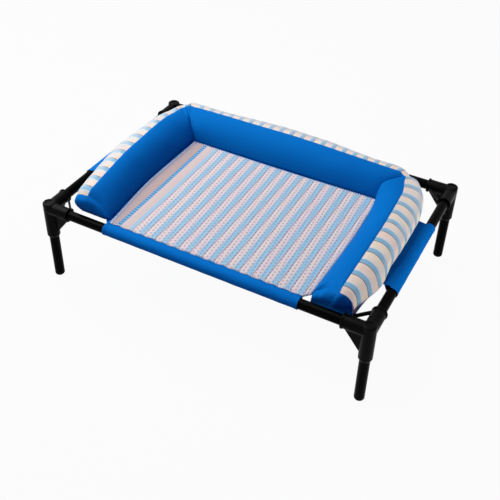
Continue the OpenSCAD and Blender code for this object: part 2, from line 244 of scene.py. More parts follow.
class BolsterSizes(bpy.types.PropertyGroup):
    """Sizes of the stuffed bolster, keyed from tip over mid arm, corner and mitre to the back's middle."""
    left_height: lengths("Left heights", "Height of the left half",
                         0.0550, 0.0626, 0.0661, 0.0624, 0.0647, 0.0647, 0.0635)
    left_crown: lengths("Left crown", "Inner foot to crown, left half",
                        0.0583, 0.0646, 0.0676, 0.0629, 0.0570, 0.0607, 0.0632)
    left_width: lengths("Left widths", "Width over the foot, left half",
                        0.1012, 0.1192, 0.1084, 0.0867, 0.0887, 0.0975, 0.1225)
    right_height: lengths("Right heights", "Height of the right half",
                          0.0411, 0.0630, 0.0627, 0.0627, 0.0610, 0.0652, 0.0635)
    right_crown: lengths("Right crown", "Inner foot to crown, right half",
                         0.0609, 0.0657, 0.0639, 0.0502, 0.0480, 0.0490, 0.0632)
    right_width: lengths("Right widths", "Width over the foot, right half",
                         0.0955, 0.1130, 0.1145, 0.0990, 0.0908, 0.0885, 0.1225)
    foot_x: lengths("Inner feet", "Middle of the cot to the left and right inner feet", 0.2520, 0.2631)
    foot_y: length("Back foot", "Middle of the cot to the back's inner foot", 0.1319)
    tip_y: lengths("Tips", "Front seams of the left and right arms", -0.2490, -0.2480)
    tip_fall: lengths("Tip fall", "How far the crown rounds down at each tip", 0.0105, 0.0065)
    tip_round: length("Tip rounding", "Length over which the crown rounds down", 0.018)
    toe_in: lengths("Toe-in at the tip", "How far each arm leans in at its tip", 0.0114, 0.0014)
    toe_out: lengths("Bow at mid arm", "How far each arm bows out at its middle", 0.0036, 0.0037)
    crown_turn: lengths("Crown corners", "Corner radius of the crown, left and right", 0.020, 0.021)
    foot_turn: lengths("Outer corners", "Corner radius of the outer foot, left and right", 0.096, 0.132)
    inner_round: share("Inner roundness", "1 is a flat slope, 2 an ellipse", 1.46)
    back_round: share("Back roundness", "How much rounder the inner side is along the back", 0.24)
    corner_round: shares("Corner fullness", "Extra roundness beside each mitre seam", 0.15, 2.6)
    outer_round: share("Outer roundness", "1 is a flat slope, 2 an ellipse, 3 boxy", 2.9)
    nose: length("End bulge", "How far the end panels stand out", 0.015)
    end_full: shares("End fullness", "How full the left and right ends are in their middle", 0.95, 0.4)
    end_lean: shares("End lean", "How much fuller the ends are on their outer side", 0.15, -0.9)
    end_pucker: length("End pucker", "Depth of the puckers under the end seams", 0.0014)
    droop: lengths("Droop", "How far the left and right ends hang past the cut corners", 0.005, 0.022)
    tuck: length("Tuck", "How far the outer foot is drawn in under the outer side", 0.004)
    tip_tuck: lengths("Tip tuck", "How far the outer foot is drawn in at each tip", 0.022, 0.002)
    belly: lengths("Belly", "How far the outer feet swell out near each tip", 0.0, 0.013)
    belly_run: length("Belly run", "Length of the swelling from the tip", 0.18)
    set_back: lengths("Set-back", "How far the end seams lie back on the inner slopes", 0.004, 0.017)
    crease: length("Crease", "Depth of the mitre seams in the inner corners", 0.003)
    unevenness: length("Unevenness", "Height of the soft waves in the stuffed cloth", 0.0007)
    row: length("Row spacing", "Distance between the mesh rows", 0.005)
    columns: IntProperty(name="Columns", description="Mesh columns on each slope", default=14)
    swell: length("Swell limit", "Most that the stuffing pushes the cloth out", 0.005)
    seam_depth: length("Seam depth", "How deep the seams are drawn in", 0.0016)
    seam_width: length("Seam width", "Half the width of a drawn-in seam", 0.0026)


class StitchSizes(bpy.types.PropertyGroup):
    """Sizes of the stitches."""
    pitch: length("Pitch", "Distance between stitches", 0.0036)
    size: length("Stitch length", "Length of one stitch", 0.0027)
    thread: length("Thread radius", "Radius of the thread", 0.00032)
    hem_inset: length("Hem inset", "Edge of a hem to its stitches", 0.0035)
    cut_inset: length("Cut inset", "Cut edge of the sling to its stitches", 0.006)
    end_inset: length("End inset", "End of a sleeve to its stitches", 0.007)
    overlock_pitch: length("Overlock pitch", "Distance between overlock loops", 0.0030)
    overlock_size: length("Overlock length", "Length of one overlock loop", 0.0080)
    overlock_inset: length("Overlock inset", "Edge of the mat to the middle of the loops", 0.0034)
    overlock_lean: angle("Overlock lean", "Lean of the loops to either side", 52.0)


class StageSettings(bpy.types.PropertyGroup):
    """Camera and light."""
    azimuth: angle("Azimuth", "Turn of the camera round the cot", 27.4703)
    elevation: angle("Elevation", "Height of the camera over the horizon", 37.1233)
    roll: angle("Roll", "Roll of the camera", 1.5142)
    distance: length("Distance", "Camera to its target", 2.0305)
    target: lengths("Target", "Point on the camera's axis", -0.04256, 0.05806, 0.13352)
    lens: share("Lens", "Focal length in millimetres", 58.147)
    shift: share("Shift", "Vertical shift of the picture", -0.09)
    key: share("Key light", "Power of the overhead soft light in watts", 107.0)
    key_place: lengths("Key place", "Middle of the overhead soft light", -1.39, 0.04, 2.39)
    key_size: lengths("Key size", "Width and height of the overhead soft light", 2.4, 2.4)
    fill: share("Fill light", "Power of the low side light in watts", 33.0)
    fill_place: lengths("Fill place", "Middle of the low side light", 2.2, 0.62, 0.15)
    fill_size: lengths("Fill size", "Width and height of the low side light", 1.1, 0.25)
    sky: colour("Sky", "Light from all round", 0.02, 0.022, 0.165)
    floor: colour("Floor", "Colour of the floor", 0.46, 0.46, 0.46)
    floor_glow: share("Floor glow", "Share of plain white in the floor that the camera sees", 0.95)
    floor_half: length("Floor reach", "Middle of the cot to the edge of the floor", 30.0)


GROUPS = {
    "cot_colours": CotColours,
    "cot_sling": SlingSizes,
    "cot_mat": MatSizes,
    "cot_bolster": BolsterSizes,
    "cot_stitch": StitchSizes,
    "cot_stage": StageSettings,
}


class Nodes:
    """Adds nodes to a node tree in few words."""

    def __init__(self, tree):
        self.tree = tree

    def node(self, kind, inputs=(), **settings):
        """A new node with its settings, and with a value or a link on each input that is named."""
        made = self.tree.nodes.new(kind)
        for key, value in settings.items():
            setattr(made, key, value)
        for socket, value in dict(inputs).items():
            self.feed(made.inputs[socket], value)
        return made

    def feed(self, socket, value):
        """Puts a link, a colour or a number on a socket."""
        if isinstance(value, bpy.types.NodeSocket):
            self.tree.links.new(value, socket)
        elif socket.type == "RGBA":
            socket.default_value = (*value[:3], 1.0)
        else:
            socket.default_value = value

    def math(self, operation, *values):
        return self.node("ShaderNodeMath", enumerate(values), operation=operation).outputs[0]

    def times(self, first, second):
        return self.math("MULTIPLY", first, second)

    def scaled(self, value, factor, offset):
        return self.math("MULTIPLY_ADD", value, factor, offset)

    def seen(self):
        """1 for rays from the camera, straight or by way of something glossy or clear."""
        ray = self.node("ShaderNodeLightPath").outputs
        bent = self.math("MAXIMUM", ray["Is Glossy Ray"], ray["Is Transmission Ray"])
        return self.math("MAXIMUM", ray["Is Camera Ray"], bent)


class Shader(Nodes):
    """Builds one material."""

    def __init__(self, name):
        self.material = bpy.data.materials.new(name)
        self.material.use_nodes = True
        super().__init__(self.material.node_tree)
        self.surface = self.tree.nodes["Principled BSDF"]

    def set(self, **inputs):
        """Feeds the surface's sockets, whose names have _ here for a space."""
        for name, value in inputs.items():
            self.feed(self.surface.inputs[name.replace("_", " ")], value)

    def mix(self, factor, first, second, blend="MIX"):
        inputs = {0: factor, 6: first, 7: second}
        return self.node("ShaderNodeMix", inputs, data_type="RGBA", blend_type=blend).outputs[2]

    def greyed(self, tone, grey):
        """A colour multiplied by a grey value."""
        grey = self.node("ShaderNodeCombineColor", {0: grey, 1: grey, 2: grey}).outputs[0]
        return self.mix(1.0, tone, grey, "MULTIPLY")

    def noise(self, vector, scale, detail=2.0, rough=0.5):
        inputs = {"Vector": vector, "Scale": scale, "Detail": detail, "Roughness": rough}
        return self.node("ShaderNodeTexNoise", inputs).outputs["Fac"]

    def slub(self, vector, scale):
        """Uneven thickness of a cloth's threads."""
        return self.noise(vector, scale, detail=3.0, rough=0.6)

    def span(self, value, low, high, to_low=0.0, to_high=1.0):
        """Eased change from one value to another."""
        inputs = {"Value": value, "From Min": low, "From Max": high, "To Min": to_low, "To Max": to_high}
        return self.node("ShaderNodeMapRange", inputs, interpolation_type="SMOOTHSTEP").outputs["Result"]

    def before(self, value, edge, soft):
        """1 below an edge and 0 above it."""
        return self.span(value, edge - soft, edge + soft, 1.0, 0.0)

    def band(self, value, start, end, soft):
        """1 between start and end, with soft edges."""
        return self.times(self.span(value, start - soft, start + soft), self.before(value, end, soft))

    def off_middle(self, number):
        """How far a number lies from the middle of its whole step."""
        return self.math("SUBTRACT", self.math("FRACT", number), 0.5)

    def place(self):
        return self.node("ShaderNodeTexCoord").outputs["Object"]

    def attribute(self, name):
        return self.node("ShaderNodeAttribute", attribute_name=name).outputs["Fac"]

    def split(self, vector):
        return self.node("ShaderNodeSeparateXYZ", {"Vector": vector}).outputs

    def bump(self, height, distance, **more):
        inputs = {"Height": height, "Distance": distance, "Strength": 1.0, **more}
        return self.node("ShaderNodeBump", inputs).outputs["Normal"]

    def cloth(self, tone, height, depth, **surface):
        """Sets a matt cloth surface with some sheen."""
        self.set(Base_Color=tone, Normal=self.bump(height, depth), **surface)
        return self.material

    def weave(self, across, along, pitch):
        """Height of a plain weave: threads that pass over and under each other."""
        turn = 2 * math.pi / pitch
        one, two = (self.math("SINE", self.times(way, turn)) for way in (across, along))
        return self.times(one, two)

    def stripe_tint(self, number, one, two):
        """Wide band colour that changes a little from one repeat to the next."""
        whole = self.math("FLOOR", number)
        pick = self.node("ShaderNodeTexWhiteNoise", {"W": whole}, noise_dimensions="1D").outputs["Value"]
        return self.mix(pick, one, two)


def coated_tube_finish(colours):
    """Black powder coat on steel tube, slightly uneven."""
    shader = Shader("coated_tube")
    place = shader.place()
    fine = shader.noise(place, scale=900.0, detail=3.0)
    broad = shader.noise(place, scale=18.0)
    shader.set(Base_Color=colours.tube_black, Specular_IOR_Level=0.02,
               Roughness=shader.span(broad, NOISE_LOW, NOISE_HIGH, 0.16, 0.22),
               Normal=shader.bump(fine, 0.00006))
    return shader.material


def moulded_finish(name, tone, low, high):
    """Black moulded plastic with a fine grain, softened edges and a roughness from low to high."""
    shader = Shader(name)
    place = shader.place()
    grain = shader.noise(place, scale=1400.0, detail=4.0, rough=0.65)
    broad = shader.noise(place, scale=30.0)
    edge = shader.node("ShaderNodeBevel", {"Radius": 0.0009}, samples=6).outputs["Normal"]
    shader.set(Base_Color=tone, Specular_IOR_Level=0.04,
               Roughness=shader.span(broad, NOISE_LOW, NOISE_HIGH, low, high),
               Normal=shader.bump(grain, 0.00008, Normal=edge))
    return shader.material


def blue_cloth_finish(colours, name, from_attributes):
    """Blue woven cloth, on object coordinates or on the piece's own cloth coordinates."""
    shader = Shader(name)
    place = shader.place()
    if from_attributes:
        across, along = shader.attribute("across"), shader.attribute("along")
    else:
        across, along = shader.split(place)[:2]
    weave = shader.weave(across, along, pitch=0.0011)
    slub = shader.slub(place, scale=420.0)
    broad = shader.noise(place, scale=9.0)
    threads = shader.scaled(weave, 0.28, shader.scaled(slub, 0.5, 0.22))
    worn = shader.scaled(broad, 0.35, threads)
    tone = shader.mix(shader.span(worn, 0.15, 1.05), colours.blue_deep, colours.blue)
    return shader.cloth(tone, shader.scaled(slub, SLUB_SHARE, weave), WEAVE_DEPTH, Roughness=0.72,
                        Specular_IOR_Level=0.03, Sheen_Weight=0.02, Sheen_Roughness=0.4,
                        Sheen_Tint=(0.05, 0.45, 1.0))


def striped_cloth_finish(colours):
    """Striped cloth of the outer panels: thin line, blue band, pale strip and wide band, with painted sheen
    and shade where upward faces turn away from the camera.
    """
    shader = Shader("striped_cloth")
    place = shader.place()
    wander = shader.scaled(shader.noise(place, scale=30.0), 0.05, -0.025)
    number = shader.math("ADD", shader.attribute("stripe"), wander)
    phase = shader.math("FRACT", number)
    tone = shader.stripe_tint(number, colours.stripe_pink, colours.stripe_cream)
    tone = shader.mix(shader.band(phase, *CLOTH_PALE), tone, colours.stripe_pale)
    tone = shader.mix(shader.band(phase, *CLOTH_BLUE), tone, colours.stripe_blue)
    tone = shader.mix(shader.band(phase, *CLOTH_LINE), tone, colours.stripe_line)
    # Painted sheen and shade: faces that point up and are seen at a grazing angle are mixed toward a grey
    # blue. This pales the blue bands and darkens the wide ones, standing in for how the light falls there.
    facing = shader.node("ShaderNodeLayerWeight", {"Blend": 0.5}).outputs["Facing"]
    up = shader.split(shader.node("ShaderNodeNewGeometry").outputs["Normal"])["Z"]
    painted_sheen = shader.times(shader.span(facing, 0.30, 0.65, 0.0, 0.65), shader.span(up, 0.15, 0.5))
    tone = shader.mix(painted_sheen, tone, colours.stripe_painted_sheen)
    weave = shader.weave(shader.attribute("across"), shader.attribute("along"), pitch=0.0010)
    slub = shader.slub(place, scale=380.0)
    tone = shader.greyed(tone, shader.scaled(weave, 0.06, shader.scaled(slub, 0.16, 0.87)))
    return shader.cloth(tone, shader.scaled(slub, SLUB_SHARE, weave), WEAVE_DEPTH, Roughness=0.8,
                        Specular_IOR_Level=0.12, Sheen_Weight=0.03, Sheen_Roughness=0.5)


def mesh_mat_finish(colours, sizes):
    """Striped air mesh: bands along the depth of the cot with staggered holes."""
    shader = Shader("striped_mesh")
    place = shader.place()
    across, along = shader.split(place)[:2]
    waver = shader.scaled(shader.noise(place, scale=7.0), 0.004, -0.002)
    shifted = shader.math("ADD", across, waver)
    number = shader.math("DIVIDE", shader.math("SUBTRACT", shifted, sizes.first_line), sizes.repeat)
    phase = shader.math("FRACT", number)
    blue = shader.band(phase, *MAT_BLUE)
    tone = shader.stripe_tint(number, colours.mesh_pink, colours.mesh_cream)
    tone = shader.mix(blue, tone, colours.mesh_blue)
    tone = shader.mix(shader.band(phase, *MAT_LINE), tone, colours.stripe_line)
    row = shader.math("DIVIDE", along, sizes.dot_along)
    plain = shader.before(across, -sizes.plain_edge, sizes.edge_soft)
    hole = shader.times(mesh_holes(shader, sizes, shifted, along, row), shader.math("SUBTRACT", 1.0, plain))
    dark = shader.mix(1.0, tone, HOLE_SHADE, "MULTIPLY")
    tone = shader.mix(shader.times(hole, shader.scaled(blue, -0.4, 1.0)), tone, dark)
    tone = mat_selvedge(shader, colours, sizes, tone, across, row)
    slub = shader.slub(place, scale=500.0)
    tone = shader.greyed(tone, shader.scaled(slub, 0.22, 0.87))
    height = shader.scaled(hole, -1.0, shader.times(slub, 0.35))
    return shader.cloth(tone, height, HOLE_DEPTH, Roughness=0.85, Specular_IOR_Level=0.1, Sheen_Weight=0.03,
                        Sheen_Roughness=0.5)


def mesh_holes(shader, sizes, shifted, along, row):
    """1 in the holes of the mesh: leaning columns, every other one half a step on."""
    column = shader.math("DIVIDE", shader.scaled(along, sizes.dot_lean, shifted), sizes.dot_across)
    odd = shader.times(shader.math("FLOORED_MODULO", shader.math("FLOOR", column), 2.0), 0.5)
    off_x = shader.times(shader.off_middle(column), sizes.dot_across)
    off_y = shader.times(shader.off_middle(shader.math("ADD", row, odd)), sizes.dot_along * 0.8)
    away = shader.math("SQRT", shader.math("ADD", shader.times(off_x, off_x), shader.times(off_y, off_y)))
    return shader.span(away, sizes.dot_size * 0.45, sizes.dot_size * 1.25, 1.0, 0.0)


def mat_selvedge(shader, colours, sizes, tone, across, row):
    """Left edge strip of the mat: a cream strip, a column of deep blue dashes and an overlocked edge. The
    strip's outer half, next to the bolster, is darker partly by its own tone and partly by painted shade
    from the bolster.
    """
    dashes_per_row = 1.24
    hem, half = sizes.hem, sizes.selvedge_width / 2
    strip = shader.span(across, -sizes.strip[0], -sizes.strip[1], 1.0, 0.0)
    # Darker outer half: partly the strip's own tone, partly painted shade from the bolster's foot.
    shade = shader.mix(shader.before(across, -sizes.selvedge, sizes.edge_soft), *STRIP_TONE_AND_SHADE)
    tone = shader.mix(strip, tone, shader.mix(1.0, colours.mesh_cream, shade, "MULTIPLY"))
    column = shader.band(across, -sizes.selvedge - half, -sizes.selvedge + half, 0.0008)
    off = shader.math("ABSOLUTE", shader.off_middle(shader.times(row, dashes_per_row)))
    dash = shader.times(column, shader.span(off, 0.24, 0.36, 1.0, 0.3))
    tone = shader.mix(column, tone, colours.mesh_blue)
    tone = shader.mix(shader.times(dash, 0.85), tone, colours.mesh_dash)
    edge = shader.attribute("edge")
    tone = shader.mix(shader.span(edge, hem, hem * 3, 0.35, 0.0), tone, colours.mesh_hem)
    fold = shader.times(shader.band(edge, hem * 0.95, hem * 1.2, 0.0006), 0.45)
    tone = shader.mix(fold, tone, colours.stripe_line)
    return shader.mix(shader.span(edge, hem * 0.6, hem * 0.8, 0.85, 0.0), tone, colours.mesh_hem)


def thread_finish(name, tone):
    """Twisted sewing thread."""
    shader = Shader(name)
    twist = shader.noise(shader.place(), scale=2600.0)
    shade = shader.mix(shader.span(twist, 0.35, 0.65), [part * 0.7 for part in tone], tone)
    shader.set(Base_Color=shade, Roughness=0.6, Specular_IOR_Level=0.3, Normal=shader.bump(twist, 0.00008))
    return shader.material


def add_object(name, mesh):
    """A new object at the origin, linked to the scene."""
    made = bpy.data.objects.new(name, mesh)
    bpy.context.scene.collection.objects.link(made)
    return made


def declare(piece, slot, *nodes):
    """Says what a piece rides on and hides the CAD nodes it stands for. The slot, what it is made of, is not
    used.
    """
    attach(piece, MAIN_BODY)
    if nodes:
        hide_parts(*nodes)
    return piece


def grid_faces(rows, columns, flip=False):
    """Quads of a grid of points, as index rows."""
    index = np.arange(rows * columns).reshape(rows, columns)
    corners = [index[:-1, :-1], index[:-1, 1:], index[1:, 1:], index[1:, :-1]]
    quads = np.stack([corner.ravel() for corner in corners], -1)
    return quads[:, ::-1] if flip else quads


def merged(points, faces):
    """Points with doubles joined, the faces on them, and where each point went."""
    kept, where = np.unique(np.round(points, 7), axis=0, return_inverse=True)
    where = where.ravel()
    polygons = []
    for face in where[faces].tolist():
        corners = [corner for i, corner in enumerate(face) if corner != face[i - 1]]
        if len(set(corners)) > 2:
            polygons.append(corners)
    return kept, polygons, where


def grid_piece(name, points, finish, flip=False, **values):
    """A smooth mesh piece from a grid of points, with its cloth coordinates as attributes."""
    rows, columns = points.shape[:2]
    kept, polygons, where = merged(points.reshape(-1, 3), grid_faces(rows, columns, flip))
    mesh = bpy.data.meshes.new(name)
    mesh.from_pydata(kept.tolist(), [], polygons)
    mesh.polygons.foreach_set("use_smooth", [True] * len(mesh.polygons))
    for key, field in values.items():
        per_point = np.zeros(len(kept))
        per_point[where] = field.ravel()
        mesh.attributes.new(key, "FLOAT", "POINT").data.foreach_set("value", per_point)
    mesh.materials.append(finish)
    mesh.update()
    return add_object(name, mesh)


def thicken(piece, thickness, smooth=1):
    """Smooths a cloth piece and gives it its thickness inwards."""
    if smooth:
        rounded = piece.modifiers.new("Smooth", "SUBSURF")
        rounded.levels = smooth
        rounded.render_levels = smooth
    wall = piece.modifiers.new("Cloth", "SOLIDIFY")
    wall.thickness = thickness
    wall.offset = -1.0
    wall.use_even_offset = False
    return baked(piece)


def baked(piece):
    """The piece as a plain mesh, with its modifiers applied and its cut edges sharp."""
    flat = piece.data
    graph = bpy.context.evaluated_depsgraph_get()
    mesh = bpy.data.meshes.new_from_object(
        piece.evaluated_get(graph), preserve_all_data_layers=True, depsgraph=graph)
    piece.modifiers.clear()
    piece.data = mesh
    bpy.data.meshes.remove(flat)
    mesh.name = piece.name
    mesh.set_sharp_from_angle(angle=SHARP_ANGLE)
    return piece


def unit(vectors):
    """Vectors at a length of 1."""
    return vectors / np.maximum(np.linalg.norm(vectors, axis=-1, keepdims=True), 1e-12)


def smooth_step(value):
    """Eased ramp from 0 to 1."""
    t = np.clip(value, 0.0, 1.0)
    return t * t * (3 - 2 * t)


def bell(value):
    """1 at 0, falling off softly to both sides."""
    return np.exp(-(value**2))


def smooth_curve(places, values, at):
    """Monotone cubic through a few keyed values, level at its last key."""
    places, values = np.asarray(places, float), np.asarray(values, float)
    gaps = np.diff(places)
    slopes = np.diff(values) / gaps
    tangents = np.zeros(len(values))
    tangents[0] = slopes[0]
    for i in range(1, len(values) - 1):
        if slopes[i - 1] * slopes[i] > 0:
            near, far = 2 * gaps[i] + gaps[i - 1], gaps[i] + 2 * gaps[i - 1]
            tangents[i] = (near + far) / (near / slopes[i - 1] + far / slopes[i])
    at = np.asarray(at, float)
    i = np.clip(np.searchsorted(places, at) - 1, 0, len(gaps) - 1)
    t = np.clip((at - places[i]) / gaps[i], 0, 1)
    return ((2 * t**3 - 3 * t**2 + 1) * values[i] + (t**3 - 2 * t**2 + t) * gaps[i] * tangents[i]
            + (3 * t**2 - 2 * t**3) * values[i + 1] + (t**3 - t**2) * gaps[i] * tangents[i + 1])


def soft_waves(x, y, waves, seed):
    """Gentle unevenness between about -1 and 1, the same each run."""
    draw = np.random.default_rng(seed)
    total = np.zeros(np.broadcast(x, y).shape)
    for wave in waves:
        turn = draw.uniform(0, 2 * math.pi)
        start = draw.uniform(0, 2 * math.pi)
        total = total + np.sin((x * math.cos(turn) + y * math.sin(turn)) * 2 * math.pi / wave + start)
    return total / len(waves)


def arc_along(points, axis):
    """Distance along the rows or columns of a grid."""
    gaps = np.linalg.norm(np.diff(points, axis=axis), axis=-1)
    lead = np.zeros_like(np.take(gaps, [0], axis=axis))
    return np.cumsum(np.concatenate([lead, gaps], axis=axis), axis=axis)


def sling_reach(y, side):
    """Distance from the middle to the sling's left (-1) or right (1) edge, with its corners cut off."""
    ends, front, back = (LEFT_ENDS, -FRONT_ENDS[0], -BACK_ENDS[0])
    if side > 0:
        ends, front, back = (RIGHT_ENDS, FRONT_ENDS[1], BACK_ENDS[1])
    y = np.asarray(y, float)
    before = np.clip((ends[0] - y) / (ends[0] + SLING_Y), 0, 1)
    behind = np.clip((y - ends[1]) / (SLING_Y - ends[1]), 0, 1)
    step = smooth_step((np.maximum(ends[0] - y, y - ends[1]) + NOTCH_LEAD) / NOTCH_STEP)
    notched = SLING_X - NOTCH * step
    return notched + (front - notched) * before + (back - notched) * behind


def sling_height(x, y, sizes):
    """Top of the sling, which hangs a little in the middle."""
    hollow = (1 - (x / SLING_X) ** 2) * (1 - (y / SLING_Y) ** 2)
    return DECK_Z - sizes.sag * np.clip(hollow, 0, 1)


def build_sling(sizes, finish):
    """The sling: one taut sheet with cut corners, and pull lines beside the cuts."""
    row_count, column_count, step_count = 65, 97, 5
    cut_line, cut_width, pulls, calm = 1.35, 0.16, 21, 1.6
    steps = NOTCH_STEP * np.linspace(0, 1, step_count) - NOTCH_LEAD
    cuts = [end + side * steps for ends in (LEFT_ENDS, RIGHT_ENDS) for end, side in zip(ends, (-1, 1))]
    rows = np.unique(np.round(np.r_[np.linspace(-SLING_Y, SLING_Y, row_count), np.ravel(cuts)], 4))
    place = np.linspace(0, 1, column_count)
    y = np.repeat(rows[:, None], len(place), 1)
    left, right = sling_reach(y, -1), sling_reach(y, 1)
    x = -left + (left + right) * place
    out_x, out_y = np.abs(x) / SLING_X, np.abs(y) / SLING_Y
    near_cut = bell((out_x + out_y - cut_line) / cut_width)
    pull = np.sin((out_x - out_y) * pulls + 2.0 * np.sign(x) + np.sign(y))
    inside = np.clip(calm - np.maximum(out_x, out_y) * calm, 0, 1)
    z = sling_height(x, y, sizes) + sizes.ripple * near_cut * pull * inside
    piece = grid_piece("sling_sheet", np.stack([x, y, z], -1), finish)
    return thicken(piece, CLOTH)


def sleeve_section(sizes):
    """Section of a sleeve from the sling's edge, over the rail, and back up to the hem.
    Each point is (inwards, up) from the rail's axis, on the outer face of the cloth."""
    top_count, turn_count, web_count = 4, 30, 7
    hem_lead, hem_drop, hem_press = 0.003, 1.15, 1.05
    r = TUBE_R + sizes.ease + CLOTH
    edge = RAIL_Y - SLING_Y
    hem_up = DECK_Z - RAIL_Z - CLOTH * hem_drop
    hem_start = HEM_REACH - HEM_WIDTH
    web_up = hem_up - CLOTH
    touch = math.atan2(web_up, hem_start) - math.acos(r / math.hypot(hem_start, web_up))
    turns = np.linspace(math.pi / 2, 2 * math.pi + touch, turn_count)
    top = [(u, r) for u in np.linspace(edge, 0, top_count)[:-1]]
    round_rail = [(r * math.cos(t), r * math.sin(t)) for t in turns]
    web = np.linspace(round_rail[-1], (hem_start, web_up), web_count)[1:]
    hem_low = hem_up - CLOTH * hem_press
    hem = [(hem_start + hem_lead, hem_low), (HEM_REACH, hem_low)]
    return np.array([*top, *round_rail, *web, *hem])


def sleeve_along(steps, inward, ends, outward):
    """Places along a sleeve. Towards the hem the side sleeves get shorter, with the cut of the sling."""
    middle_of, half = (ends[0] + ends[1]) / 2, (ends[1] - ends[0]) / 2
    slant = SIDE_SLANT if outward[0] else 0.0
    return steps - (steps - middle_of) / half * slant * np.clip(inward, 0, None)


def beside_rail(out, along, outward):
    """x and y of a place out from the middle of the cot and along a rail."""
    x_dir, y_dir = outward
    return out * x_dir + along * abs(y_dir), out * y_dir + along * abs(x_dir)


def build_sleeve(name, ends, rail, outward, sizes, finish, seed):
    """One sleeve round a rail. outward is the unit direction from the cot's middle to the rail."""
    row_gap, waves = 0.006, (0.055, 0.034, 0.023, 0.08)
    held_start, held_end = 0.012, 0.02
    flare_run, draw_place, draw_run = 0.004, 0.011, 0.002
    section = sleeve_section(sizes)
    steps = np.linspace(*ends, int((ends[1] - ends[0]) / row_gap) + 1)
    end = np.minimum(steps - ends[0], ends[1] - steps)[:, None]
    run = np.r_[0, np.cumsum(np.linalg.norm(np.diff(section, axis=0), axis=1))]
    along = sleeve_along(steps[:, None], section[None, :, 0], ends, outward)
    across = np.repeat(run[None], len(steps), 0)
    wave = soft_waves(along, across * 1.5, waves, seed) * sizes.pucker
    held = smooth_step(across / held_start) * smooth_step((run[-1] - across) / held_end)
    flare = sizes.flare * np.exp(-end / flare_run) - sizes.draw * bell((end - draw_place) / draw_run)
    push = (np.maximum(wave, 0) + flare) * held
    inward_up = section[None] + unit(section)[None] * push[..., None]
    x, y = beside_rail(rail - inward_up[..., 0], along, outward)
    points = np.stack([x, y, RAIL_Z + inward_up[..., 1]], -1)
    piece = grid_piece(name + "_sleeve_cloth", points, finish, flip=outward[1] > outward[0], along=along,
                       across=across)
    declare(thicken(piece, CLOTH, 0), "blue_cloth", name + "_sleeve")


def round_corner(share, start, line_end, side, centre, r):
    """Places along and across a side that goes straight to line_end and then round an eighth of a circle."""
    straight = line_end - start
    went = np.clip(share, 0, 1) * (straight + r * math.pi / 4)
    a = np.clip((went - straight) / np.maximum(r, 1e-9), 0, math.pi / 4)
    on_line = went < straight
    along = np.where(on_line, start + went, line_end + r * np.sin(a))
    return along, np.where(on_line, side, centre + r * np.cos(a))


